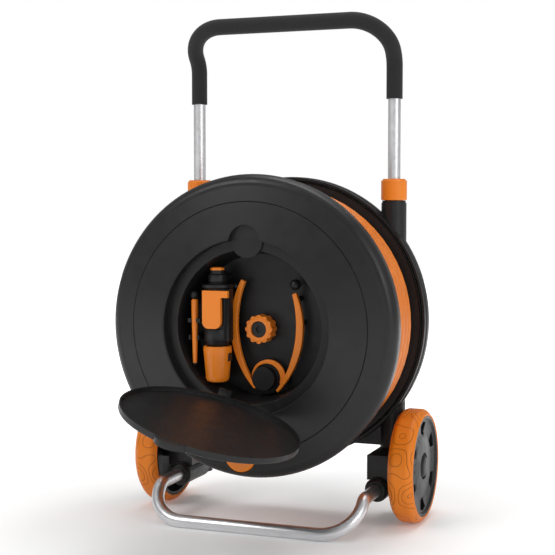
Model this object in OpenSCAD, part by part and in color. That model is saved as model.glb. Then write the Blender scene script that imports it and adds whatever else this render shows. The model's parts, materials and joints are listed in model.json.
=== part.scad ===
// Garden hose reel cart: a hose drum with a lidded accessory compartment, carried by
// a two-wheeled stand with a telescopic tube handle and a bent tube foot.
// +Z is up, the drum faces -Y, and the origin lies on the floor under the middle of the cart.

/* [Stand] */
// Distance between the two upright tubes, centre to centre
leg_spacing = 325; // [320:1:345]
// How far the uprights stand behind the wheel axle
leg_back = 35.3; // [34:0.1:45]
// Outer diameter of the aluminium tubes
tube_d = 19; // [18:0.5:20]
// Wall thickness of the aluminium tubes
tube_wall = 1.2; // [1:0.1:2]
// Outer diameter of the moulded tube sleeves
sleeve_d = 38.4; // [36:0.2:40]
// Top of the tube sleeves
sleeve_top = 481; // [470:1:483]

/* [Handle] */
// Height at which the handle leans forward
lean_height = 700; // [690:1:760]
// Forward lean of the handle's top
handle_lean = 41.3; // [30:0.1:45]
// Length of the leaning part, up to the top bar's centre
lean_length = 71.8; // [71:0.1:90]
// Corner radius of the handle's top bends
handle_corner_r = 57; // [45:1:57]
// Outer diameter of the foam grip
foam_d = 24.8; // [23:0.2:30]
// Height of the foam grip's lower ends
foam_bottom = 639; // [636:1:660]
// Lower end of the handle's tubes inside the sleeves
tube_bottom = 360; // [340:1:380]

/* [Clamp collars] */
// Outer diameter of the twist collars
collar_d = 39.4; // [38:0.2:46]
// Height of a twist collar
collar_h = 32.5; // [32:0.1:36]

/* [Foot] */
// Height of the foot tube's arms where they leave their sockets
foot_arm_z = 54; // [50:1:58]
// Half the distance between the foot tube's arms
foot_half = 161; // [158:1:165]
// How far the foot tube's arms run forward of the axle before they bend down
foot_reach = 112.4; // [100:0.1:140]
// Downward slope of the foot tube's front loop
foot_slope = 43.7; // [40:0.1:44]
// Corner radius of the foot tube's front bends
foot_corner_r = 55; // [45:1:55]

/* [Wheels] */
// Diameter of the wheels
wheel_d = 171; // [165:1:190]
// Width of a wheel
wheel_w = 39; // [34:1:40]
// Distance from the middle of the cart to the middle of a wheel
wheel_mid = 205.4; // [205:0.1:225]
// Depth of the tyre's tread ring
tyre_depth = 10.2; // [8:0.2:14]
// Diameter of the wheel axles
axle_d = 12; // [10:1:14]

/* [Drum] */
// Height of the drum's axis
drum_z = 301.5; // [300:0.5:330]
// How far the drum's front face stands ahead of the wheel axle
face_ahead = 174.4; // [170:0.1:178]
// Outer radius of the front cover
cover_r = 221; // [219:1:226]
// Outer radius of the rear flange
flange_r = 213.5; // [210:0.5:214]
// Outer radius of the barrel that the hose is wound on
barrel_r = 134; // [134:0.5:140]
// Distance from the front face to the inner side of the front flange
winding_front = 48; // [48:1:52]
// Width between the two flanges
winding_w = 133; // [110:1:133]
// Thickness of the moulded flanges and walls
wall = 3; // [2.5:0.1:3.5]

/* [Hose] */
// Outer diameter of the hose
hose_d = 17.4; // [15:0.1:17.4]
// Layers of hose on the barrel
hose_layers = 4; // [2:1:4]

/* [Compartment] */
// Radius of the compartment's mouth
mouth_r = 126.9; // [126:0.1:127]
// Radius of the compartment inside its ledge
tub_r = 112; // [108:0.5:112]
// Depth of the ledge below the front face
ledge_depth = 15; // [13:0.5:20]
// Depth of the compartment
tub_depth = 70; // [70:1:72]

/* [Lid] */
// Radius of the lid
lid_r = 124.9; // [120:0.1:125]
// Thickness of the lid at its edge
lid_h = 10; // [8:0.5:12]
// How far the lid's finger lip reaches from its centre
lip_reach = 138; // [134:1:140]
// How far the lid opens
lid_open = 93.5; // [60:0.5:95]

/* [Crank knob] */
// Radius of the pull-out crank knob
knob_r = 24.7; // [22:0.1:25]
// Distance from the drum's axis to the knob's axis
knob_orbit = 187.5; // [185:0.5:190]
// How far the knob pulls out
knob_travel = 18; // [12:1:18]

/* [Hidden] */
$fn = 96;

// Clearances
gap_run = 0.05;
gap_free = 0.3;
gap_wheel = 2;
// Straight tube laps this far into a bend, which is this much fatter, so that they join
lap = 0.6;
bend_swell = 0.05;

tube_r = tube_d / 2;
sleeve_r = sleeve_d / 2;
bore_r = tube_r + 2.5;
neck_r = tube_r + 4.5;
neck_h = 3.4;
leg_x = leg_spacing / 2;
wheel_r = wheel_d / 2;
axle_r = axle_d / 2;
axle_z = wheel_r;
rim_r = wheel_r - tyre_depth;

// The lid's hinge line, measured from the drum's axis at the front face. It is slightly
// skewed, so that the lid comes to rest rolled to one side.
hinge_drop = 120.2;
hinge_proud = 3.8;
hinge_dir = [0.9815, 0.1353, -0.1353];
knuckle_span = [-40, -24];

// Turns point p by angle a about the unit direction k
function turned(p, k, a) = p * cos(a) + cross(k, p) * sin(a) + k * (k * p) * (1 - cos(a));

// The middle of the cart lies half-way between the back of the wheels and the open lid's lip
lip_tip = turned([0, hinge_proud, lip_reach + hinge_drop], hinge_dir, lid_open);
lid_front = face_ahead + hinge_proud - lip_tip[1];
axle_y = (lid_front - wheel_r) / 2;
face_y = axle_y - face_ahead;
leg_y = axle_y + leg_back;
hinge_at = [0, face_y - hinge_proud, drum_z - hinge_drop];

// Depths behind the drum's front face
winding_back = winding_front + winding_w;
rear_face = winding_back + wall;
frame_front = rear_face + 1;
plate_back = face_ahead + leg_back + 1.3;
plate_t = 4;
cover_back = winding_front - wall;
mid_join = 110;

frame_r = flange_r + 6.3;
hose_r = barrel_r + gap_free + hose_layers * hose_d;
cover_inner_r = mouth_r + 2.4;

// Bracket block, beside each wheel
block_in = 144;
block_out = wheel_mid - wheel_w / 2 - gap_wheel;
block_top = 104;
block_bottom = 67;
block_front = axle_y - 40;
socket_r = 18;
socket_len = 47.7;
socket_mouth = axle_y - socket_len;
foot_insert = 40;

// Screw tabs that lie on the back of the frame, as heights from the drum's axis
bracket_tab_z = [-135, 110];
tab_t = 6;
bracket_screw_x = leg_x - sleeve_r - 9;

// Spindle
spindle_r = 12;
spindle_front = tub_depth + 14;
waterway_r = 6;
spout_len = barrel_r - wall - 6;
port_depth = winding_back - 25;
seal_depths = [port_depth - 10, port_depth + 10];
rear_hub = winding_back - 9;
front_hub = spindle_front + 6;
web_depth = front_hub + 10;
spigot_r = 8.6;
spigot_len = 14;
inlet_end = plate_back + 43;

drum_screw_a = [45 : 90 : 315];
drum_screw_at = 114;

// Crank knob
knob_a = 3.6;
knob_x = -knob_orbit * sin(knob_a);
knob_z = -knob_orbit * cos(knob_a);
knob_face = 12.5;
knob_len = 28;
well_floor = knob_face + knob_len + gap_free;
pin_r = 5;
boss_r = 11;

// The hose's outer end: the coupling's radius and its place round the drum
end_r = 10.5;
end_a = 234.8;

// Finger notch at the compartment's mouth
notch_r = 24;
notch_at = 124.3;
notch_depth = 11.5;
lip_r = notch_r - 0.6;

// Accessories, measured from the drum's axis: x, height, and depth behind the face
gun_x = -55;
gun_depth = 33;
gun_r = 21.5;
lever_pivot = [-12.5, 47];
stake_x = -88.7;
stake_depth = 27;
tap_at = [4.6, -5.5];
tap_front = 45;
tap_len = 22;
sprinkler_depth = 52;
disc_at = [10.5, -78.6];
leg_arc_r = 147;
leg_w = 11;

plastic = [0.20, 0.20, 0.21];
dark = [0.14, 0.14, 0.15];
orange = [0.90, 0.47, 0.13];
metal = [0.80, 0.80, 0.79];
steel = [0.62, 0.62, 0.64];
foam = [0.12, 0.12, 0.12];

// ---- Shared shapes ----

// A ring about the drum's axis from points [radius, depth behind the front face]
module about_drum(points) {
  translate([0, face_y, drum_z]) rotate([-90, 0, 0]) rotate_extrude() polygon(points);
}

// A cylinder parallel to the drum's axis, at x and height z from it, between two depths
module drum_post(x, z, r, from, to) {
  translate([x, face_y + from, drum_z + z]) rotate([-90, 0, 0]) cylinder(r = r, h = to - from);
}

// A ring about a wheel's axis from points [radius, distance outward from the wheel's middle]
module about_wheel(side, points) {
  translate([side * wheel_mid, axle_y, axle_z]) rotate([0, side * 90, 0]) rotate_extrude() polygon(points);
}

// A ring about an upright from points [radius, height]
module about_leg(side, points) {
  translate([side * leg_x, leg_y, 0]) rotate_extrude() polygon(points);
}

// A quarter or part of a torus that starts on +X and turns towards +Y
module bend(bend_r, r, angle) {
  rotate_extrude(angle = angle) translate([bend_r, 0]) circle(r = r + bend_swell);
}

// A straight stretch of tube along z that laps into the bends at its ends
module straight(r, from, to, lap_from, lap_to)
  translate([0, 0, from - lap_from]) cylinder(r = r, h = to - from + lap_from + lap_to);

// Half of a bent tube: straight up from z0, a lean towards -Y at z1, then an inward corner
module u_half(half, r, z0, z1, lean, lean_r, slant, corner_r) {
  trim = lean_r * tan(lean / 2);
  translate([half, 0, 0]) straight(r, z0, z1 - trim, 0, lap);
  translate([half, -lean_r, z1 - trim]) rotate([90, 0, 90]) bend(lean_r, r, lean);
  translate([half, 0, z1]) rotate([lean, 0, 0]) {
    straight(r, trim, slant - corner_r, lap, lap);
    translate([-corner_r, 0, slant - corner_r]) rotate([90, 0, 0]) bend(corner_r, r, 90);
  }
}

module u_tube(half, r, z0, z1, lean, lean_r, slant, corner_r) {
  u_half(half, r, z0, z1, lean, lean_r, slant, corner_r);
  mirror([1, 0, 0]) u_half(half, r, z0, z1, lean, lean_r, slant, corner_r);
  translate([0, 0, z1]) rotate([lean, 0, 0]) translate([0, 0, slant]) rotate([0, 90, 0])
    straight(r, corner_r - half, half - corner_r, lap, lap);
}

// ---- Stand ----

module rear_frame() color(plastic) difference() {
  union() {
    about_drum([
      [spindle_r, frame_front + 4], [26, frame_front + 4], [26, plate_back - plate_t],
      [frame_r - 5.3, plate_back - plate_t], [frame_r - 5.3, frame_front],
      [frame_r - 1.5, frame_front], [frame_r - 1.5, frame_front + 10], [frame_r, frame_front + 11],
      [frame_r, plate_back - 5], [frame_r - 5, plate_back], [150, plate_back], [144, plate_back + 4],
      [72, plate_back + 4], [66, plate_back + 9], [30, plate_back + 9], [26, plate_back + 13],
      [spindle_r, plate_back + 13]]);
    for (side = [-1, 1])
      translate([side > 0 ? 100 : -leg_x, face_y + plate_back - 11.8, block_top + 4])
        cube([leg_x - 100, 11.6, 72]);
    for (a = [0 : 45 : 315])
      translate([0, face_y + plate_back - 10, drum_z]) rotate([0, a, 0])
        translate([24, 0, -1.5]) cube([frame_r - 28, 7, wall]);
  }
  for (side = [-1, 1]) {
    translate([side * leg_x, leg_y, 0]) rotate([0, 0, 20]) cylinder(r = sleeve_r, h = sleeve_top + 60);
    for (z = bracket_tab_z) drum_post(side * bracket_screw_x, z, 2.5, plate_back - 20, plate_back + 1);
  }
}

module side_bracket(side) color(plastic) difference() {
  union() {
    translate([side * leg_x, leg_y, foot_arm_z - 10])
      cylinder(r = sleeve_r, h = sleeve_top - foot_arm_z + 10);
    translate([side * leg_x, leg_y, sleeve_top - 1]) cylinder(r = sleeve_r - 1.2, h = neck_h + 1);
    translate([side * leg_x, leg_y, sleeve_top - 1]) cylinder(r = neck_r, h = 30);
    translate([side > 0 ? block_in : -block_out, block_front, block_bottom])
      cube([block_out - block_in, leg_y - block_front, block_top - block_bottom]);
    translate([side * foot_half, socket_mouth, foot_arm_z]) rotate([-90, 0, 0])
      cylinder(r = socket_r, h = leg_y - socket_mouth - 8);
    translate([side * block_in, axle_y, axle_z]) rotate([0, side * 90, 0])
      cylinder(r = 17.5, h = block_out - block_in);
    for (z = bracket_tab_z)
      translate([side > 0 ? bracket_screw_x - 8 : -leg_x, face_y + plate_back, drum_z + z - 14])
        cube([leg_x - bracket_screw_x + 8, tab_t, 28]);
  }
  translate([side * leg_x, leg_y, 150]) cylinder(r = bore_r, h = sleeve_top);
  translate([side * foot_half, socket_mouth - 1, foot_arm_z]) rotate([-90, 0, 0])
    cylinder(r = tube_r, h = foot_insert + 1);
  translate([side * (block_in + 6), axle_y, axle_z]) rotate([0, side * 90, 0])
    cylinder(r = axle_r, h = block_out);
  for (z = bracket_tab_z) drum_post(side * bracket_screw_x, z, 2.5, plate_back - 1, plate_back + 20);
}

module bracket_screws() color(steel)
  for (side = [-1, 1], z = bracket_tab_z)
    translate([side * bracket_screw_x, face_y + plate_back, drum_z + z]) rotate([-90, 0, 0]) difference() {
      union() {
        translate([0, 0, -plate_t]) cylinder(r = 2.5, h = plate_t + tab_t + 1);
        translate([0, 0, tab_t]) cylinder(r = 4.6, h = 3);
      }
      translate([0, 0, tab_t + 1.2]) cylinder(r = 1.8, h = 3, $fn = 6);
    }

module collet(side) color(dark)
  about_leg(side, [
    [tube_r + gap_run, sleeve_top - 4], [bore_r, sleeve_top - 4], [bore_r, sleeve_top + 29],
    [neck_r - 0.2, sleeve_top + 29], [neck_r - 0.2, sleeve_top + 29.5],
    [tube_r + gap_run, sleeve_top + 29.5]]);

module collar(side) color(orange) {
  bottom = sleeve_top + neck_h + 0.4;
  top = bottom + collar_h;
  half_d = collar_d / 2;
  inner = neck_r + gap_free;
  about_leg(side, [
    [inner, bottom], [half_d - 0.8, bottom], [half_d, bottom + 0.8], [half_d, top - 3],
    [half_d - 0.7, top - 2.2], [half_d - 2.2, top - 2], [half_d - 2.4, top - 0.4], [half_d - 2.8, top],
    [tube_r + 0.4, top], [tube_r + 0.4, top - 5], [inner, top - 5]]);
}

module foot_path(r, extra) {
  slant = (foot_arm_z - tube_r) / sin(foot_slope);
  translate([0, socket_mouth + foot_insert, foot_arm_z]) rotate([90, 0, 0])
    u_tube(foot_half, r, -extra, foot_insert - socket_len + foot_reach, foot_slope, 20, slant, foot_corner_r);
}

module foot_tube() color(metal) difference() {
  foot_path(tube_r, 0);
  foot_path(tube_r - tube_wall, 1);
}

module socket_ring(side) color(dark)
  translate([side * foot_half, socket_mouth, foot_arm_z]) rotate([90, 0, 0]) rotate_extrude()
    polygon([[tube_r, 0], [socket_r - 1, 0], [socket_r - 1, 3], [socket_r - 4, 6], [tube_r, 6]]);

module stub_axle(side) color(steel)
  translate([side * (block_in + 6), axle_y, axle_z]) rotate([0, side * 90, 0]) {
    cylinder(r = axle_r, h = wheel_mid + wheel_w / 2 - 6 - block_in - 6);
  }

module axle_cap(side) color(dark)
  translate([side * (wheel_mid + wheel_w / 2 - 6), axle_y, axle_z]) rotate([0, side * 90, 0])
    rotate_extrude() polygon([
      [0, 0], [16, 0], [16, 2], [13.5, 4.6], [9, 5.6], [0, 6]]);

module spindle() color(dark) difference() {
  about_drum([
    [0, spindle_front], [spindle_r, spindle_front], [spindle_r, plate_back + 13],
    [14, plate_back + 13], [14, plate_back + 20], [8, plate_back + 20], [8, plate_back + 24],
    [9.6, plate_back + 25.5], [9.6, inlet_end - spigot_len], [spigot_r, inlet_end - spigot_len],
    [spigot_r, inlet_end], [0, inlet_end]]);
  drum_post(0, 0, waterway_r, spindle_front + 6, inlet_end + 1);
  for (d = seal_depths) about_drum([
    [spindle_r - 1.9, d - 1], [spindle_r + 1, d - 1], [spindle_r + 1, d + 1], [spindle_r - 1.9, d + 1]]);
  about_drum([
    [spindle_r - 2, spindle_front + 3], [spindle_r + 1, spindle_front + 3],
    [spindle_r + 1, spindle_front + 5], [spindle_r - 2, spindle_front + 5]]);
  translate([0, face_y + port_depth, drum_z - spindle_r - 1]) cylinder(r = 4, h = spindle_r + 1);
}

module spindle_seals() color(dark)
  for (d = seal_depths)
    translate([0, face_y + d, drum_z]) rotate([-90, 0, 0]) rotate_extrude()
      translate([spindle_r - 0.95, 0]) circle(r = 0.95, $fn = 24);

module spindle_clip() color(steel)
  about_drum([
    [spindle_r - 2, spindle_front + 3], [spindle_r + 4, spindle_front + 3],
    [spindle_r + 4, spindle_front + 5], [spindle_r - 2, spindle_front + 5]]);

// ---- Handle ----

module handle_path(r, from)
  translate([0, leg_y, 0]) u_tube(leg_x, r, from, lean_height, handle_lean, 35, lean_length, handle_corner_r);

module handle_tube() color(metal) difference() {
  handle_path(tube_r, tube_bottom);
  handle_path(tube_r - tube_wall, tube_bottom - 1);
}

module foam_grip() color(foam) difference() {
  handle_path(foam_d / 2, foam_bottom);
  handle_path(tube_r, foam_bottom - 1);
}

module tube_plug(side) color(dark)
  translate([side * leg_x, leg_y, 0]) {
    translate([0, 0, tube_bottom - 14]) cylinder(r = bore_r - gap_run, h = 14);
    translate([0, 0, tube_bottom - 1]) cylinder(r = tube_r - tube_wall, h = 16);
  }

// ---- Wheels ----

module tyre(side) color(orange) {
  w = wheel_w / 2;
  about_wheel(side, [
    [rim_r, -w + 2], [wheel_r - 5, -w], [wheel_r - 2.2, -w + 1.2], [wheel_r - 0.6, -w + 4],
    [wheel_r, -w + 8], [wheel_r, w - 8], [wheel_r - 0.6, w - 4], [wheel_r - 2.2, w - 1.2],
    [wheel_r - 5, w], [rim_r, w - 1]]);
}

module hub(side) color(plastic) difference() {
  w = wheel_w / 2;
  about_wheel(side, [
    [axle_r + gap_run, -w + 2], [15, -w + 2], [15, 6], [rim_r - 5, 7], [rim_r - 5, -w + 2],
    [rim_r, -w + 2], [rim_r, w - 1], [rim_r - 3.5, w - 1], [rim_r - 6, w - 4.5], [52, w - 7],
    [44, w - 4.4], [20, w - 3.4], [19, w - 6.6], [axle_r + gap_run, w - 6.6]]);
  for (a = [0 : 60 : 300])
    translate([side * wheel_mid, axle_y, axle_z]) rotate([0, side * 90, 0]) rotate([0, 0, a])
      translate([0, 0, -wheel_w]) linear_extrude(2 * wheel_w)
        polygon([[48, -5], [rim_r - 11, -14], [rim_r - 8, 0], [rim_r - 11, 14], [48, 5]]);
}

// ---- Drum ----

module front_cover() color(plastic) difference() {
  union() {
    about_drum([
      [cover_inner_r, 0], [180.4, 9.7], [181.3, 10.9], [182.2, 10.1], [cover_r - 17, 14.6],
      for (a = [75 : -15 : 0]) [cover_r - 17 + 17 * cos(a), 31.6 - 17 * sin(a)],
      [cover_r - 1.2, cover_back], [cover_r - 4, cover_back], [cover_r - 2.8, 32],
      for (a = [0 : 15 : 75]) [cover_r - 17 + 14.2 * cos(a), 31.6 - 14.2 * sin(a)],
      [cover_r - 17, 17.6], [cover_inner_r + 2.5, 3.2], [cover_inner_r + 2.5, cover_back],
      [cover_inner_r, cover_back]]);
    intersection() {
      drum_post(0, notch_at, notch_r + 2.5, 4, notch_depth + 2.5);
      about_drum([[cover_inner_r, 0], [200, 0], [200, 30], [cover_inner_r, 30]]);
    }
    drum_post(knob_x, knob_z, knob_r + 2.8, knob_face + 2, cover_back);
  }
  drum_post(0, notch_at, notch_r, -5, notch_depth);
  drum_post(knob_x, knob_z, knob_r + 0.6, -5, well_floor);
  drum_post(knob_x, knob_z, boss_r, well_floor - 1, cover_back + 1);
}

module front_drum_half() color(dark) {
  difference() {
    about_drum([
      [barrel_r - wall, cover_back], [flange_r, cover_back], [flange_r, winding_front],
      [barrel_r, winding_front], [barrel_r, mid_join], [barrel_r - wall, mid_join],
      [barrel_r - wall, web_depth + wall], [22, web_depth + wall], [22, web_depth + 10],
      [17, web_depth + 10], [17, front_hub], [22, front_hub], [22, web_depth],
      [barrel_r - wall, web_depth]]);
    drum_post(knob_x, knob_z, boss_r, cover_back - 1, winding_front + 1);
  }
  difference() {
    drum_post(knob_x, knob_z, boss_r, knob_face + 8, winding_front);
    drum_post(knob_x, knob_z, pin_r + gap_run, 0, winding_front - 1.5);
  }
}

module rear_drum_half() color(plastic) difference() {
  union() {
    about_drum([
      [17, rear_hub], [24, rear_hub], [24, winding_back - 6], [barrel_r - wall, winding_back - 6],
      [barrel_r - wall, mid_join], [barrel_r, mid_join], [barrel_r, winding_back],
      [flange_r - 2, winding_back], [flange_r, winding_back - 2], [flange_r, rear_face],
      [17, rear_face]]);
    for (a = [15 : 60 : 315])
      translate([0, face_y + winding_back - 18, drum_z]) rotate([0, a, 0])
        translate([30, 0, -1.5]) cube([barrel_r - wall - 30, 15, wall]);
  }
  for (a = drum_screw_a) {
    drum_post(drum_screw_at * cos(a), drum_screw_at * sin(a), 2.5, rear_hub, rear_face + 1);
    drum_post(drum_screw_at * cos(a), drum_screw_at * sin(a), 4.5, rear_face - 2.5, rear_face + 1);
  }
  translate([0, face_y + port_depth, drum_z - barrel_r - 5]) cylinder(r = 9.4, h = 15);
}

module drum_screws() color(steel)
  for (a = drum_screw_a) difference() {
    union() {
      drum_post(drum_screw_at * cos(a), drum_screw_at * sin(a), 2.5, rear_hub, rear_face - 1);
      drum_post(drum_screw_at * cos(a), drum_screw_at * sin(a), 4.5, rear_face - 2.5, rear_face);
    }
    drum_post(drum_screw_at * cos(a), drum_screw_at * sin(a), 1.6, rear_face - 1.4, rear_face + 1);
  }

// A plain bearing between the spindle and one of the drum's hubs
module bush(from, to) color(steel)
  about_drum([
    [spindle_r + gap_run, from], [17, from], [17, to], [spindle_r + gap_run, to]]);

module water_swivel() color(dark) {
  difference() {
    about_drum([
      [spindle_r + gap_run, port_depth - 15], [21, port_depth - 15], [23, port_depth - 12],
      [23, port_depth + 12], [21, port_depth + 15], [spindle_r + gap_run, port_depth + 15],
      [spindle_r + gap_run, port_depth + 5], [16, port_depth + 5], [16, port_depth - 5],
      [spindle_r + gap_run, port_depth - 5]]);
    translate([0, face_y + port_depth, drum_z - 40]) rotate([0, 0, 30]) cylinder(r = 5, h = 26);
  }
  translate([0, face_y + port_depth, drum_z - spout_len]) difference() {
    cylinder(r = 8, h = spout_len - 18);
    translate([0, 0, -1]) cylinder(r = 5, h = spout_len);
  }
}

// The wound hose, with room in its outer layer for the end connector
module hose_winding() color(orange) difference() {
  a = barrel_r + gap_free;
  front = winding_front + 0.5;
  back = winding_back - 0.5;
  about_drum([
    [a, front], [hose_r - 6, front], [hose_r, front + 6], [hose_r, back - 6], [hose_r - 6, back], [a, back]]);
  at_hose_end() translate([-2 * end_r, -end_r - gap_free, -22]) cube([3 * end_r + gap_free, 3 * end_r, 46]);
}

// The hose's outer end: x points to the drum's axis, z along the hose
module at_hose_end()
  translate([
      (hose_r - hose_d / 2) * cos(end_a), face_y + winding_back - end_r - 1,
      drum_z + (hose_r - hose_d / 2) * sin(end_a)])
    rotate([0, 180 - end_a, 0]) children();

// The coupling on the hose's outer end, tucked in beside the rear flange
module hose_end_connector() color(dark) at_hose_end() difference() {
  translate([0, 0, -20]) rotate_extrude()
    polygon([[0, 0], [7.5, 0], [7.5, 6], [end_r - 0.5, 8], [end_r, 34], [end_r - 1.5, 40], [0, 40]]);
  translate([0, 0, 2]) cylinder(r = spigot_r + 0.1, h = 20);
}

module accessory_tub() color(dark) {
  floor_back = tub_depth + wall;
  difference() {
    union() {
      about_drum([
        [mouth_r, 0.6], [mouth_r + 0.8, 0], [cover_inner_r - 0.05, 0], [cover_inner_r - 0.05, ledge_depth + 2.5],
        [tub_r + 3, ledge_depth + 2.5], [tub_r - 5, floor_back], [0, floor_back], [0, tub_depth],
        [tub_r - 8, tub_depth], [tub_r - 0.5, ledge_depth + 0.8], [tub_r + 0.4, ledge_depth],
        [mouth_r, ledge_depth]]);
      intersection() {
        drum_post(0, notch_at, notch_r, notch_depth, notch_depth + 2.5);
        about_drum([[80, 0], [mouth_r + 1, 0], [mouth_r + 1, 30], [80, 30]]);
      }
      translate([-34, face_y + 9, drum_z - 98]) rotate([0, 16, 0]) translate([-10, 0, -7])
        cube([20, ledge_depth - 8, 14]);
      gun_cradle(70, 13.2);
      gun_cradle(-14, gun_r - 2);
      translate([stake_x - 8, face_y + stake_depth + 6.5, drum_z - 22]) cube([16, tub_depth - stake_depth - 6, 7]);
      for (s = [-1, 1])
        translate([stake_x + s * 6.9 - 1.25, face_y + stake_depth - 4, drum_z - 22])
          cube([2.5, tub_depth - stake_depth + 4, 7]);
      drum_post(tap_at[0], tap_at[1], 9, tap_front + 6, tub_depth + 1);
      for (p = [[-36, 5], [67, 5], [62, 40]])
        drum_post(p[0], p[1], 4, sprinkler_depth + 4.3, tub_depth + 1);
      drum_post(disc_at[0], disc_at[1], 7, sprinkler_depth + 11.8, tub_depth + 1);
    }
    drum_post(0, notch_at, notch_r, -1, notch_depth);
  }
}

// A saddle on the compartment's floor that the spray gun lies in
module gun_cradle(z, r)
  difference() {
    translate([gun_x - r / 2 - 3, face_y + gun_depth + 4, drum_z + z - 3])
      cube([r + 6, tub_depth - gun_depth - 3, 6]);
    translate([gun_x, face_y + gun_depth, drum_z + z - 5]) cylinder(r = r + gap_free, h = 10);
  }

// ---- Lid ----

// Puts a piece that is drawn with the lid closed where it is with the lid open
module lid_opened()
  translate(hinge_at) rotate(a = lid_open, v = hinge_dir) translate(-hinge_at) children();

// A cylinder on the hinge line, from one place along it to another
module on_hinge(r, from, to)
  translate(hinge_at + hinge_dir * from)
    rotate([0, acos(hinge_dir[2]), atan2(hinge_dir[1], hinge_dir[0])]) cylinder(r = r, h = to - from);

// The two ears stand on the cover just outside the compartment's mouth
module hinge_ears() color(dark) difference() {
  for (s = [knuckle_span[0] - 6, knuckle_span[1] + 0.4]) {
    on_hinge(4.6, s, s + 5.6);
    translate([s + 0.6, face_y - 12, drum_z - 139]) cube([4.2, 8.6, 20]);
    translate([s + 0.6, face_y - 4, drum_z - 139]) cube([4.2, 7, 10]);
  }
  about_drum([[cover_inner_r - 1, -0.3], [180.4, 9.6], [180.4, 40], [cover_inner_r - 1, 40]]);
  on_hinge(2, -60, 0);
}

module hinge_pin() color(steel) on_hinge(1.95, knuckle_span[0] - 6, knuckle_span[1] + 6);

module lid() color(plastic) lid_opened() difference() {
  union() {
    about_drum([
      [0, -1], [lid_r - 20, -1], [lid_r - 4, 0.2], [lid_r - 0.8, 1.6], [lid_r, 3.5], [lid_r, lid_h],
      [lid_r - 2.6, lid_h], [lid_r - 2.6, 4], [lid_r - 8, 3.2], [lid_r - 22, 2], [0, 2]]);
    difference() {
      drum_post(0, lip_reach - lip_r, lip_r, 1.5, lid_h - 0.5);
      drum_post(0, 0, lid_r - 1.3, 0, lid_h + 1);
    }
    on_hinge(4.6, knuckle_span[0], knuckle_span[1]);
    translate([-36, face_y - 7, drum_z - 118]) cube([8, 9.5, 8]);
  }
  on_hinge(2 + gap_run, -60, 0);
}

// ---- Crank ----

module crank_pin() color(steel)
  translate([knob_x, face_y + knob_face, drum_z + knob_z]) rotate([-90, 0, 0]) rotate_extrude()
    polygon([
      [0, 0.5], [8, 0.5], [8, 2], [pin_r, 2], [pin_r, 5.3], [8, 5.3], [8, 7], [pin_r, 7],
      [pin_r, winding_front - knob_face - 4], [0, winding_front - knob_face - 4]]);

module crank_knob() color(orange)
  translate([knob_x, face_y + knob_face, drum_z + knob_z]) rotate([-90, 0, 0]) rotate_extrude()
    polygon([
      [8.3, 0.2], [knob_r - 4, 0], [knob_r - 1, 1], [knob_r, 3.5], [knob_r, knob_len],
      [knob_r - 3.5, knob_len], [knob_r - 5, 5], [pin_r + gap_run, 5], [pin_r + gap_run, 2.3], [8.3, 2.3]]);

// ---- Accessories ----

module at_gun(z) translate([gun_x, face_y + gun_depth, drum_z + z]) children();

module gun_body() color(dark) difference() {
  union() {
    at_gun(0) rotate_extrude() polygon([
      [0, -66], [7.35, -66], [7.35, -30], [15, -30], [17, -26], [gun_r - 2, -20], [gun_r - 2, 54],
      [gun_r + 1.5, 56], [gun_r + 1.5, 60], [12, 61.5], [13.2, 66], [13.2, 74], [10.6, 76], [10.6, 81], [0, 81]]);
    at_gun(0) translate([6, -8, -22]) cube([gun_r - 6, 16, 76]);
  }
  at_gun(-67) cylinder(r = 5, h = 149);
  at_gun(0) translate([-16, -gun_r - 2, -5]) cube([32, 11.5, 46]);
  at_gun(0) translate([-16, -gun_r - 2, 39]) cube([44, gun_r + 2 - 15.4, 14]);
  at_gun(0) translate([-6.5, -20, 42]) cube([13, 12, 10]);
  at_gun(lever_pivot[1]) translate([-13, lever_pivot[0], 0]) rotate([0, 90, 0]) cylinder(r = 1.5, h = 26);
}

module gun_tip() color(orange)
  at_gun(81) rotate_extrude() polygon([[4, 0], [10.4, 0], [10.4, 3], [8.5, 4.5], [4, 4.5]]);

module gun_lever() color(orange) difference() {
  union() {
    at_gun(0) translate([-14.5, -gun_r - 1.5, 6.5]) cube([29, 6.5, 45.5]);
    for (x = [-4.5, 4.5])
      at_gun(6.5) translate([x, -gun_r - 1.5, 0]) rotate([-90, 0, 0]) cylinder(r = 10, h = 6.5);
    at_gun(0) translate([-4.5, -gun_r - 1.5, -3.5]) cube([9, 6.5, 12]);
    at_gun(0) translate([10, -gun_r - 1.5, 42]) cube([15.5, 6.5, 10]);
    at_gun(0) translate([-6, -17, 43.5]) cube([12, 7.5, 7]);
  }
  at_gun(lever_pivot[1]) translate([-40, lever_pivot[0], 0]) rotate([0, 90, 0])
    cylinder(r = 1.5 + gap_run, h = 80);
}

module gun_lever_pin() color(steel)
  at_gun(lever_pivot[1]) translate([-13, lever_pivot[0], 0]) rotate([0, 90, 0]) cylinder(r = 1.5, h = 26);

module gun_coupling() color(orange) difference() {
  at_gun(0) rotate_extrude() polygon([
    [7.4, -80], [9, -83.5], [13, -83], [15.5, -81.5], [17.2, -78], [20.9, -36], [20.4, -30.6],
    [19, -30.3], [16.2, -30.3], [16.2, -46], [7.4, -46]]);
  at_gun(-44) translate([13, -6, -8]) cube([12, 12, 12]);
}

module coupling_release() color(dark)
  at_gun(-44) translate([16.4, -5.7, -7.7]) cube([4.6, 11.4, 11.4]);

module at_stake() translate([stake_x, face_y + stake_depth, drum_z]) children();

module stake_rod() color(orange)
  at_stake() rotate_extrude() polygon([[0, -56], [3.1, -56], [5, 20], [5.2, 36], [4, 38], [0, 38]]);

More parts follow.
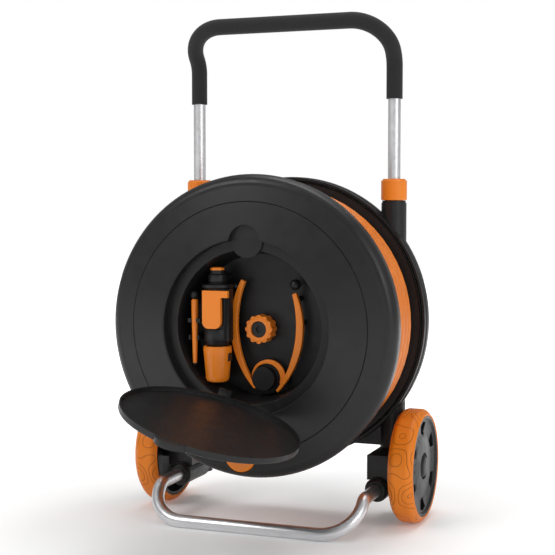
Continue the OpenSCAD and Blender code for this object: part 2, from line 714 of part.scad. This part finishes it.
module stake_ends() color(dark) at_stake() {
  translate([0, 0, 44]) difference() {
    sphere(r = 6.6, $fn = 48);
    translate([0, 0, -14]) cylinder(r = 8, h = 8);
  }
  translate([0, 0, -58.6]) cylinder(r = 3.1, h = 2.6);
  translate([0, 0, 6.5]) difference() {
    translate([-10, -3.5, -3]) cube([20, 10.5, 6]);
    translate([0, 0, -4]) cylinder(r = 4.75, h = 8);
  }
}

module tap_connector() color(orange)
  translate([tap_at[0], face_y + tap_front, drum_z + tap_at[1]]) rotate([-90, 0, 0]) difference() {
    union() {
      rotate_extrude() polygon([[9, 1.2], [12.4, 0], [18, 0], [19.5, 1.5], [19.5, tap_len], [9, tap_len]]);
      for (a = [0 : 30 : 330]) rotate([0, 0, a]) translate([17.6, 0, 0.8]) cylinder(r = 3.6, h = tap_len - 0.8);
    }
    translate([0, 0, -1]) cylinder(r = 9 + gap_free, h = tap_len + 2);
    translate([0, 0, -1]) cylinder(r = 12.2, h = 7);
  }

module tap_washer() color(dark)
  translate([tap_at[0], face_y + tap_front + 3.4, drum_z + tap_at[1]]) rotate([-90, 0, 0]) rotate_extrude()
    polygon([[5, 0], [12.1, 0], [12.1, 2.5], [5, 2.5]]);

// A curved leg as a flat band between two arcs of nearly the same centre, widest in the middle
function leg_point(r, from, to, i, edge) =
  let (a = from + (to - from) * i / 16,
       k = leg_w * (0.42 + 0.6 * sin(180 * min(1, 0.12 + i / 18))))
  [(r + edge * k / 2) * cos(a), -(r + edge * k / 2) * sin(a)];

module leg_band(cx, cz, r, from, to)
  translate([cx, face_y + sprinkler_depth - 4, drum_z + cz]) rotate([-90, 0, 0])
    linear_extrude(8) polygon([
      for (i = [0 : 16]) leg_point(r, from, to, i, 1),
      for (i = [16 : -1 : 0]) leg_point(r, from, to, i, -1)]);

module sprinkler_leg_left() color(orange) difference() {
  leg_band(111.2, 1.2, leg_arc_r, 154, 219.5);
  clear_of_disc();
}

module sprinkler_leg_right() color(orange) difference() {
  leg_band(-79.8, -0.8, leg_arc_r, 19.5, -40.4);
  clear_of_disc();
}

module clear_of_disc()
  drum_post(disc_at[0], disc_at[1], 17.4 + gap_free, sprinkler_depth - 10, sprinkler_depth + 10);

module sprinkler_bow() color(orange)
  translate([disc_at[0] + 5.5, face_y + sprinkler_depth + 4, drum_z + disc_at[1] + 1]) rotate([-90, 0, 0])
    linear_extrude(5) polygon([
      for (a = [-20 : 10 : 200]) [27 * cos(a), -27 * sin(a)],
      for (a = [200 : -10 : -20]) [21 * cos(a) - 2.5, -21 * sin(a)]]);

module sprinkler_disc() color(dark) {
  drum_post(disc_at[0], disc_at[1], 17.4, sprinkler_depth - 3.5, sprinkler_depth + 10);
  drum_post(disc_at[0], disc_at[1], 24, sprinkler_depth + 9, sprinkler_depth + 11.5);
}

module sprinkler_feet() color(dark) {
  for (p = [[-34.1, 56.9, 4.6], [59.9, 60.8, 8]])
    translate([p[0], face_y + sprinkler_depth, drum_z + p[1]]) sphere(r = p[2], $fn = 48);
}

rear_frame();
side_bracket(-1);  // side_bracket_left
side_bracket(1);  // side_bracket_right
bracket_screws();
collet(-1);  // collet_left
collet(1);  // collet_right
foot_tube();
socket_ring(-1);  // socket_ring_left
socket_ring(1);  // socket_ring_right
stub_axle(-1);  // stub_axle_left
stub_axle(1);  // stub_axle_right
axle_cap(-1);  // axle_cap_left
axle_cap(1);  // axle_cap_right
spindle();
spindle_seals();
spindle_clip();
handle_tube();
foam_grip();
tube_plug(-1);  // tube_plug_left
tube_plug(1);  // tube_plug_right
collar(-1);  // collar_left
collar(1);  // collar_right
tyre(-1);  // tyre_left
hub(-1);  // hub_left
tyre(1);  // tyre_right
hub(1);  // hub_right
front_cover();
front_drum_half();
rear_drum_half();
drum_screws();
bush(front_hub, web_depth + 10);  // front_bush
bush(rear_hub, rear_face);  // rear_bush
water_swivel();
hose_winding();
hose_end_connector();
accessory_tub();
hinge_ears();
hinge_pin();
lid();
crank_pin();
crank_knob();
gun_body();
gun_tip();
gun_lever();
gun_lever_pin();
gun_coupling();
coupling_release();
stake_rod();
stake_ends();
tap_connector();
tap_washer();
sprinkler_leg_left();
sprinkler_leg_right();
sprinkler_bow();
sprinkler_disc();
sprinkler_feet();
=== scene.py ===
"""The looks of a garden hose reel cart, built over its CAD frame.

Sizes are in millimetres, turned into metres by the mesh helpers. Places come from the boxes of
the CAD nodes.
"""
import json
import math

import bmesh
import bpy
import numpy as np
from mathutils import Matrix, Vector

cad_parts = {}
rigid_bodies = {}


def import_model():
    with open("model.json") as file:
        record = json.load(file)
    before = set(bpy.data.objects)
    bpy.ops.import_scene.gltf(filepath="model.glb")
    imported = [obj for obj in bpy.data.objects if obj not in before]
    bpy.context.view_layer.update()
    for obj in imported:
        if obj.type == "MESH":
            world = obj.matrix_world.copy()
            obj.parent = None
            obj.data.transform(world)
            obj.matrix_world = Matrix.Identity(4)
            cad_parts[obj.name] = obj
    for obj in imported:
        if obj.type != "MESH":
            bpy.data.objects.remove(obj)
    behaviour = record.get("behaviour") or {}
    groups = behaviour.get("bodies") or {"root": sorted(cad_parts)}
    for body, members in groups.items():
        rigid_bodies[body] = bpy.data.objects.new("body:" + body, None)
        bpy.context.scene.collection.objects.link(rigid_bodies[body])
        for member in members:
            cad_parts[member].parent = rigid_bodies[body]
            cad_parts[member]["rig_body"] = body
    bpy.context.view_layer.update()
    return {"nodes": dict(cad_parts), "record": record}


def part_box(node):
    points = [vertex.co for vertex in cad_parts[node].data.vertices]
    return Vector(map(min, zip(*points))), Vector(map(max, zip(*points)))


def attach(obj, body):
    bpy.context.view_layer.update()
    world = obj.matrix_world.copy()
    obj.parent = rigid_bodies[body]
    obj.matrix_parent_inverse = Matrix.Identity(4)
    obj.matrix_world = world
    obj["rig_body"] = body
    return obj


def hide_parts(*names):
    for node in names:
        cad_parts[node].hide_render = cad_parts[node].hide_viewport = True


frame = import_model()
MM = 0.001
TAU = 2 * math.pi


# ---- Places read from the frame, in millimetres ----

def low(node):
    return np.array(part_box(node)[0]) / MM


def high(node):
    return np.array(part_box(node)[1]) / MM


def middle(node):
    return (low(node) + high(node)) / 2


FACE_Y = low("front_cover")[1]
DRUM_Z = middle("rear_bush")[2]
AXLE_Y = middle("tyre_left")[1]
AXLE_Z = middle("tyre_left")[2]
WHEEL_R = high("tyre_left")[2] - AXLE_Z
WHEEL_W = high("tyre_left")[0] - low("tyre_left")[0]
WHEEL_X = middle("tyre_right")[0]
LEG_Y = middle("collar_right")[1]
WINDING_FRONT = low("hose_winding")[1] - FACE_Y
WINDING_BACK = high("hose_winding")[1] - FACE_Y
BARREL_R = 134.0


# ---- Camera and light ----

CAMERA_TURN = math.radians(20.864)
CAMERA_DIP = math.radians(3.338)
CAMERA_LENS = 82.285
CAMERA_X = 688.28
CAMERA_AHEAD = 1879.54
CAMERA_Z = 479.81


def camera():
    """A camera to the right of the drum's front, looking a little down."""
    data = bpy.data.cameras.new("camera")
    data.lens = CAMERA_LENS
    data.sensor_width = 36
    data.clip_end = 50
    place = bpy.data.objects.new("camera", data)
    place.location = (CAMERA_X * MM, (LEG_Y - CAMERA_AHEAD) * MM, CAMERA_Z * MM)
    place.rotation_euler = (math.pi / 2 - CAMERA_DIP, 0, CAMERA_TURN)
    bpy.context.scene.collection.objects.link(place)
    bpy.context.scene.camera = place


def area_light(name, place, target, size, power):
    """A soft square light at one point that looks at another."""
    data = bpy.data.lights.new(name, "AREA")
    data.size = size
    data.energy = power
    light = bpy.data.objects.new(name, data)
    light.location = place
    aim = np.array(target) - np.array(place)
    light.rotation_euler = (
        math.atan2(math.hypot(aim[0], aim[1]), -aim[2]), 0, math.atan2(-aim[0], aim[1]))
    bpy.context.scene.collection.objects.link(light)


def studio():
    """A pale floor, a pale surround and three soft lights."""
    world = bpy.data.worlds.new("surround")
    world.use_nodes = True
    tree = world.node_tree
    glow = tree.nodes["Background"]
    glow.inputs["Color"].default_value = (1, 1, 1, 1)
    seen = tree.nodes.new("ShaderNodeLightPath").outputs["Is Camera Ray"]
    tree.links.new(to_range(tree, seen, 0.38, 1.0, 0, 1), glow.inputs["Strength"])
    bpy.context.scene.world = world
    bpy.context.scene.view_settings.view_transform = "Standard"
    area_light("key", (-1.7, -2.4, 2.7), (0, 0, 0.35), 1.6, 44)
    area_light("fill", (2.6, -1.2, 1.5), (0, 0, 0.3), 1.6, 23)
    area_light("top", (0.2, 0.5, 2.8), (0, 0.1, 0.3), 1.8, 36)
    size = 6.0
    floor = quad_sheet("floor", np.array([
        [[-size, -size, 0], [-size, size, 0]], [[size, -size, 0], [size, size, 0]]]))
    floor.data.materials.append(pale_floor())


# ---- Materials ----

def new_material(name):
    """A material, its node maker and its main shader."""
    made = bpy.data.materials.new(name)
    made.use_nodes = True
    tree = made.node_tree
    return made, tree, tree.nodes["Principled BSDF"]


def noise(tree, scale, detail=3.0, stretch=(1, 1, 1), roughness=0.5):
    """Noise on the piece's own coordinates, in features per metre."""
    place = tree.nodes.new("ShaderNodeTexCoord")
    mapping = tree.nodes.new("ShaderNodeMapping")
    mapping.inputs["Scale"].default_value = stretch
    texture = tree.nodes.new("ShaderNodeTexNoise")
    texture.inputs["Scale"].default_value = scale
    texture.inputs["Detail"].default_value = detail
    texture.inputs["Roughness"].default_value = roughness
    tree.links.new(place.outputs["Object"], mapping.inputs["Vector"])
    tree.links.new(mapping.outputs["Vector"], texture.inputs["Vector"])
    return texture.outputs["Fac"]


def to_range(tree, source, low_value, high_value, from_low=0.3, from_high=0.7):
    """A factor stretched to a range of values."""
    node = tree.nodes.new("ShaderNodeMapRange")
    node.inputs["From Min"].default_value = from_low
    node.inputs["From Max"].default_value = from_high
    node.inputs["To Min"].default_value = low_value
    node.inputs["To Max"].default_value = high_value
    tree.links.new(source, node.inputs["Value"])
    return node.outputs["Result"]


def mottle(tree, shader, color, other, source):
    """The base colour wanders between two near colours."""
    mix = tree.nodes.new("ShaderNodeMix")
    mix.data_type = "RGBA"
    mix.inputs["A"].default_value = (*color, 1)
    mix.inputs["B"].default_value = (*other, 1)
    tree.links.new(source, mix.inputs["Factor"])
    tree.links.new(mix.outputs["Result"], shader.inputs["Base Color"])


def bump(tree, shader, source, depth):
    """Relief of a height in millimetres."""
    node = tree.nodes.new("ShaderNodeBump")
    node.inputs["Strength"].default_value = 1.0
    node.inputs["Distance"].default_value = depth * MM
    tree.links.new(source, node.inputs["Height"])
    tree.links.new(node.outputs["Normal"], shader.inputs["Normal"])


def moulded_plastic(name, color, rough, grain=1500, depth=0.012, coat=0.0, scatter=0.0):
    """Moulded plastic: a fine spark-eroded grain, faint flow marks and uneven sheen."""
    made, tree, shader = new_material(name)
    flow = noise(tree, 9, 4)
    darker = tuple(0.88 * c for c in color)
    mottle(tree, shader, color, darker, to_range(tree, flow, 0, 1))
    tree.links.new(
        to_range(tree, noise(tree, 60, 5), rough - 0.05, rough + 0.06), shader.inputs["Roughness"])
    shader.inputs["Specular IOR Level"].default_value = 0.3
    shader.inputs["Coat Weight"].default_value = coat
    shader.inputs["Coat Roughness"].default_value = 0.25
    if scatter:
        shader.inputs["Subsurface Weight"].default_value = scatter
        shader.inputs["Subsurface Radius"].default_value = (0.004, 0.0015, 0.0006)
        shader.inputs["Subsurface Scale"].default_value = 1.0
    bump(tree, shader, noise(tree, grain, 2), depth)
    return made


def drawn_aluminium():
    """Bright drawn tube, with fine marks along it and a little cloudiness."""
    made, tree, shader = new_material("drawn_aluminium")
    shader.inputs["Metallic"].default_value = 1.0
    cloud = to_range(tree, noise(tree, 14, 4), 0, 1)
    mottle(tree, shader, (0.80, 0.80, 0.81), (0.70, 0.70, 0.72), cloud)
    marks = noise(tree, 90, 4)
    tree.links.new(to_range(tree, marks, 0.30, 0.38), shader.inputs["Roughness"])
    bump(tree, shader, noise(tree, 500, 2, (1, 1, 0.05)), 0.001)
    return made


def plated_steel():
    """Zinc-plated steel with a faint crystal pattern."""
    made, tree, shader = new_material("plated_steel")
    shader.inputs["Metallic"].default_value = 1.0
    crystals = to_range(tree, noise(tree, 400, 3), 0, 1)
    mottle(tree, shader, (0.56, 0.56, 0.58), (0.44, 0.45, 0.47), crystals)
    tree.links.new(to_range(tree, noise(tree, 700, 2), 0.28, 0.42), shader.inputs["Roughness"])
    return made


def cell_foam():
    """Closed-cell foam: a matte skin with small pits."""
    made, tree, shader = new_material("cell_foam")
    speckle = to_range(tree, noise(tree, 700, 4), 0, 1)
    mottle(tree, shader, (0.013, 0.013, 0.0135), (0.018, 0.018, 0.019), speckle)
    shader.inputs["Roughness"].default_value = 0.85
    shader.inputs["Specular IOR Level"].default_value = 0.25
    shader.inputs["Sheen Weight"].default_value = 0.08
    shader.inputs["Sheen Roughness"].default_value = 0.5
    bump(tree, shader, noise(tree, 1100, 4, roughness=0.6), 0.04)
    return made


def soft_rubber():
    """Black sealing rubber, made darker still so that the washer in the tap nut's bore reads as the
    bore's painted shade.
    """
    made, tree, shader = new_material("soft_rubber")
    patches = to_range(tree, noise(tree, 90, 4), 0, 1)
    # Near-black colour, partly the rubber's own and partly painted shade of the bore it sits in.
    mottle(tree, shader, (0.005, 0.005, 0.005), (0.008, 0.008, 0.008), patches)
    shader.inputs["Roughness"].default_value = 0.6
    bump(tree, shader, noise(tree, 1600, 2), 0.01)
    return made


def hose_skin():
    """Extruded hose: a soft sheen, long faint streaks and light scuffs."""
    made, tree, shader = new_material("hose_skin")
    scuffs = to_range(tree, noise(tree, 40, 5), 0, 1)
    mottle(tree, shader, (0.70, 0.19, 0.014), (0.60, 0.155, 0.011), scuffs)
    tree.links.new(to_range(tree, noise(tree, 220, 4), 0.34, 0.52), shader.inputs["Roughness"])
    shader.inputs["Subsurface Weight"].default_value = 0.08
    shader.inputs["Subsurface Radius"].default_value = (0.004, 0.0012, 0.0005)
    shader.inputs["Subsurface Scale"].default_value = 1.0
    bump(tree, shader, noise(tree, 900, 3), 0.02)
    return made


def pale_floor():
    """A plain pale sweep that glows faintly near the cart and brightens away from it, so that it meets
    the surround: painted light on the floor.
    """
    made, tree, shader = new_material("pale_floor")
    mottle(tree, shader, (0.93, 0.93, 0.93), (0.90, 0.90, 0.90), to_range(tree, noise(tree, 2, 2), 0, 1))
    shader.inputs["Roughness"].default_value = 0.7
    place = tree.nodes.new("ShaderNodeTexCoord")
    reach = tree.nodes.new("ShaderNodeVectorMath")
    reach.operation = "LENGTH"
    tree.links.new(place.outputs["Object"], reach.inputs[0])
    # The floor glows, a little near the cart and fully far off: painted light.
    shader.inputs["Emission Color"].default_value = (1, 1, 1, 1)
    tree.links.new(
        to_range(tree, reach.outputs["Value"], 0.12, 1.0, 0.3, 1.6), shader.inputs["Emission Strength"])
    return made


# ---- Mesh helpers ----

def new_piece(name, verts, *faces):
    """A mesh object from points in metres and one or more arrays of faces."""
    mesh = bpy.data.meshes.new(name)
    mesh.from_pydata(verts.tolist(), [], [face for part in faces for face in part.tolist()])
    piece = bpy.data.objects.new(name, mesh)
    bpy.context.scene.collection.objects.link(piece)
    return piece


def grid_faces(rows, cols, wrap_rows, wrap_cols, start=0):
    """Four-sided faces over a grid of points stored row by row."""
    r = np.arange(rows if wrap_rows else rows - 1)
    c = np.arange(cols if wrap_cols else cols - 1)
    i, j = np.meshgrid(r, c, indexing="ij")
    i2, j2 = (i + 1) % rows, (j + 1) % cols
    corners = [i * cols + j, i * cols + j2, i2 * cols + j2, i2 * cols + j]
    return np.stack(corners, -1).reshape(-1, 4) + start


def quad_sheet(name, points):
    """An open sheet from a grid of points in metres."""
    rows, cols = points.shape[:2]
    return new_piece(name, points.reshape(-1, 3), grid_faces(rows, cols, False, False))


def finish_piece(piece, material, sharp=40.0):
    """Faces turned outwards, smooth shading up to an angle, and the material."""
    work = bmesh.new()
    work.from_mesh(piece.data)
    bmesh.ops.remove_doubles(work, verts=work.verts, dist=1e-6)
    bmesh.ops.recalc_face_normals(work, faces=work.faces)
    work.to_mesh(piece.data)
    work.free()
    piece.data.shade_smooth()
    piece.data.set_sharp_from_angle(angle=math.radians(sharp))
    piece.data.materials.append(material)
    return piece


def rounded(points, radius, steps=5):
    """A closed outline with each corner turned into an arc of up to the radius."""
    points = np.array(points, float)
    made = []
    for i, corner in enumerate(points):
        before = points[i - 1] - corner
        after = points[(i + 1) % len(points)] - corner
        la, lb = np.linalg.norm(before), np.linalg.norm(after)
        ua, ub = before / la, after / lb
        half = math.acos(np.clip(ua @ ub, -1, 1)) / 2
        if half > 1.5 or half < 0.02:
            made.append(corner)
            continue
        reach = min(radius / math.tan(half), 0.45 * la, 0.45 * lb)
        r = reach * math.tan(half)
        centre = corner + (ua + ub) / np.linalg.norm(ua + ub) * r / math.sin(half)
        start, end = corner + ua * reach - centre, corner + ub * reach - centre
        for t in np.linspace(0, 1, steps):
            swing = (start * (1 - t) + end * t)
            made.append(centre + swing / np.linalg.norm(swing) * r)
    return np.array(made)


def wheel_points(side, r, t, a):
    """Points at radius r and angle a, t millimetres outward from a wheel's middle."""
    return np.stack([side * (WHEEL_X + t), AXLE_Y + r * np.cos(a), AXLE_Z + r * np.sin(a)], -1) * MM


def tube(name, path, radius, around=16):
    """A round tube with closed ends along a path of points in millimetres."""
    path = np.asarray(path, float)
    along = np.gradient(path, axis=0)
    along /= np.linalg.norm(along, axis=1)[:, None]
    side = np.cross(along, [0.0, 1.0, 0.0])
    side /= np.linalg.norm(side, axis=1)[:, None]
    up = np.cross(side, along)
    a = np.linspace(0, TAU, around, endpoint=False)
    ring = side[:, None] * np.cos(a)[:, None] + up[:, None] * np.sin(a)[:, None]
    body = path[:, None] + radius * ring
    ends = [path[:1], path[-1:]]
    verts = np.concatenate([body.reshape(-1, 3), *ends]) * MM
    n = len(path)
    faces = grid_faces(n, around, False, True)
    j = np.arange(around)
    first = np.stack([j, (j + 1) % around, np.full(around, n * around)], -1)
    last = first + (n - 1) * around
    last[:, 2] = n * around + 1
    caps = np.concatenate([first, last])
    return new_piece(name, verts, faces, caps)


def with_soft_edges(node, width, material, angle=32.0):
    """A copy of a CAD node whose sharp edges are rounded off, as moulded and turned edges are."""
    source = frame["nodes"][node]
    mesh = source.data.copy()
    piece = bpy.data.objects.new(node + "_finished", mesh)
    bpy.context.scene.collection.objects.link(piece)
    work = bmesh.new()
    work.from_mesh(mesh)
    bmesh.ops.remove_doubles(work, verts=work.verts, dist=2e-6)
    bmesh.ops.dissolve_limit(
        work, angle_limit=math.radians(0.5), verts=work.verts, edges=work.edges,
        use_dissolve_boundaries=False)
    work.to_mesh(mesh)
    work.free()
    mesh.shade_smooth()
    mesh.set_sharp_from_angle(angle=math.radians(angle))
    mesh.materials.clear()
    mesh.materials.append(material)
    bevel = piece.modifiers.new("soft_edges", "BEVEL")
    bevel.width = width * MM
    bevel.segments = 3
    bevel.limit_method = "ANGLE"
    bevel.angle_limit = math.radians(angle)
    bevel.use_clamp_overlap = True
    bevel.harden_normals = True
    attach(piece, source["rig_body"])
    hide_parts(node)
    return piece


# ---- Pieces ----

HOSE_D = 17.4
HOSE_LAYERS = 4
TURNS_A_LAYER = 7
TURNS_ALL = 27 + 29.3 / 360


def hose(material):
    """The hose, wound back and forth in layers, starting at the spout under the drum's hub.

    In each layer the hose runs six and a half turns from one flange to the other at a steady
    pitch, then climbs by one hose diameter over the last half turn.
    """
    steps = 64
    turn = np.linspace(0, TURNS_ALL, int(TURNS_ALL * steps) + 1)
    layer = np.minimum(np.floor(turn / TURNS_A_LAYER), HOSE_LAYERS - 1)
    within = turn - layer * TURNS_A_LAYER
    run = TURNS_A_LAYER - 0.5
    across = np.clip(within / run, 0, 1)
    climb = np.clip((within - run) / 0.5, 0, 1)
    climb = climb * climb * (3 - 2 * climb)
    front = WINDING_FRONT + HOSE_D / 2
    back = WINDING_BACK - HOSE_D / 2
    forward = layer % 2 == 0
    d = np.where(forward, back + (front - back) * across, front + (back - front) * across)
    r = BARREL_R + 0.3 + HOSE_D * (layer + 0.5 + climb)
    a = math.radians(270) - turn * TAU
    path = np.stack([r * np.cos(a), FACE_Y + d, DRUM_Z + r * np.sin(a)], -1)
    made = finish_piece(tube("hose", path, HOSE_D / 2 - 0.05), material, 60)
    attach(made, "drum")
    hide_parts("hose_winding")


TYRE_DEPTH = 10.2
GROOVE_DEPTH = 0.55
GROOVE_HALF_WIDTH = 0.55


def relief_lines(a, t, grid_step):
    """How deep in a groove each point of the tread lies, from 0 to 1.

    A slowly wandering height is laid over the tread, and a groove of even width runs wherever
    it passes a whole number, as contour lines do on a map.
    """
    field = (
        0.9 * np.sin(4 * a + t / 15) + 0.8 * np.sin(7 * a - t / 12 + 2)
        + 0.4 * np.sin(11 * a + t / 9 + 1) + t / 26)
    slope_a, slope_t = np.gradient(field)
    slope = np.hypot(slope_a / grid_step[0], slope_t / grid_step[1])
    away = np.abs(field - np.round(field)) / np.maximum(slope, 0.02)
    return np.exp(-(away / GROOVE_HALF_WIDTH) ** 2)


def tyre(side, material):
    """A tyre with full round shoulders and thin wandering grooves over its tread."""
    half = WHEEL_W / 2
    rim = WHEEL_R - TYRE_DEPTH
    outline = rounded([
        [rim, -half + 2], [WHEEL_R - 8, -half], [WHEEL_R, -half + 7], [WHEEL_R, half - 7],
        [WHEEL_R - 8, half], [rim, half - 1]], 12, 9)
    step = 0.8
    dense = []
    for p, q in zip(outline, np.roll(outline, -1, 0)):
        cuts = max(1, int(np.linalg.norm(q - p) / step))
        dense.append(p + (q - p) * np.linspace(0, 1, cuts, endpoint=False)[:, None])
    outline = np.concatenate(dense)
    turns = 760
    a = np.linspace(0, TAU, turns, endpoint=False)[:, None]
    r, t = outline[:, 0][None, :] + 0 * a, outline[:, 1][None, :] + 0 * a
    run = np.concatenate([[0], np.cumsum(np.linalg.norm(np.diff(outline, axis=0), axis=1))])
    run = run - run.mean() + 0 * a
    groove = relief_lines(a + 0 * r, run, (TAU * WHEEL_R / turns, step))
    groove = groove * np.clip((r - WHEEL_R + 7) / 2, 0, 1)
    points = wheel_points(side, r - GROOVE_DEPTH * groove, t, a + 0 * r)
    word = "left" if side < 0 else "right"
    made = new_piece(
        "tyre_tread_" + word, points.reshape(-1, 3), grid_faces(turns, len(outline), True, True))
    finish_piece(made, material, 60)
    # The groove depth is kept on the points so that the tyre material can paint shade into the grooves.
    shade = made.data.attributes.new("groove", "FLOAT", "POINT")
    shade.data.foreach_set("value", groove.ravel().astype(np.float32))
    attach(made, "wheel_" + word)
    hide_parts("tyre_" + word)


def grooved_tyre_plastic():
    """Orange tyre plastic whose colour is darkened in the grooves as painted shade."""
    made = moulded_plastic(
        "grooved_tyre_plastic", (0.80, 0.215, 0.010), 0.42, grain=1100, depth=0.02, scatter=0.05)
    tree = made.node_tree
    shader = tree.nodes["Principled BSDF"]
    plain = shader.inputs["Base Color"].links[0].from_socket
    depth = tree.nodes.new("ShaderNodeAttribute")
    depth.attribute_name = "groove"
    mix = tree.nodes.new("ShaderNodeMix")
    mix.data_type = "RGBA"
    # Dark orange painted into the grooves: painted shade.
    mix.inputs["B"].default_value = (0.20, 0.045, 0.004, 1)
    tree.links.new(to_range(tree, depth.outputs["Fac"], 0, 0.8, 0.15, 0.9), mix.inputs["Factor"])
    tree.links.new(plain, mix.inputs["A"])
    tree.links.new(mix.outputs["Result"], shader.inputs["Base Color"])
    return made


# ---- Assembly ----

camera()

GREY = (0.013, 0.013, 0.0135)
DARK = (0.009, 0.009, 0.0095)
ORANGE = (0.80, 0.215, 0.012)

grey_plastic = moulded_plastic("grey_plastic", GREY, 0.36)
dark_plastic = moulded_plastic("dark_plastic", DARK, 0.40)
orange_plastic = moulded_plastic("orange_plastic", ORANGE, 0.34, depth=0.006, coat=0.15, scatter=0.05)
tyre_plastic = grooved_tyre_plastic()
aluminium = drawn_aluminium()
steel = plated_steel()
foam = cell_foam()
rubber = soft_rubber()
hose_plastic = hose_skin()

SLOT_LOOKS = {
    "grey_plastic": grey_plastic, "dark_plastic": dark_plastic, "orange_plastic": orange_plastic,
    "polished_tube": aluminium, "zinc_steel": steel, "grip_foam": foam, "seal_rubber": rubber,
    "orange_tyre": tyre_plastic, "orange_hose": hose_plastic}

MATERIAL_SLOT = {e["node"]: e["material_slot"] for e in frame["record"]["subparts"]}
for node, slot in MATERIAL_SLOT.items():
    mesh = frame["nodes"][node].data
    mesh.materials.clear()
    mesh.materials.append(SLOT_LOOKS[slot])

# Edge radius of each piece whose corners show, in millimetres
EDGE_RADIUS = {
    "side_bracket_left": 1.5, "side_bracket_right": 1.5,
    "socket_ring_left": 0.8, "socket_ring_right": 0.8, "rear_frame": 0.8, "accessory_tub": 0.5, "hinge_ears": 0.6, "lid": 0.4,
    "hub_left": 0.8, "hub_right": 0.8, "collar_left": 0.4, "collar_right": 0.4, "crank_knob": 0.5,
    "gun_body": 0.7, "gun_lever": 1.0, "gun_coupling": 0.7, "coupling_release": 0.6, "gun_tip": 0.4,
    "tap_connector": 0.7, "stake_ends": 0.6, "sprinkler_leg_left": 1.4, "sprinkler_leg_right": 1.4,
    "sprinkler_bow": 0.9, "sprinkler_disc": 0.8, "axle_cap_left": 0.5, "axle_cap_right": 0.5}
for node, width in EDGE_RADIUS.items():
    with_soft_edges(node, width, SLOT_LOOKS[MATERIAL_SLOT[node]])

hose(hose_plastic)
tyre(-1, tyre_plastic)
tyre(1, tyre_plastic)
studio()
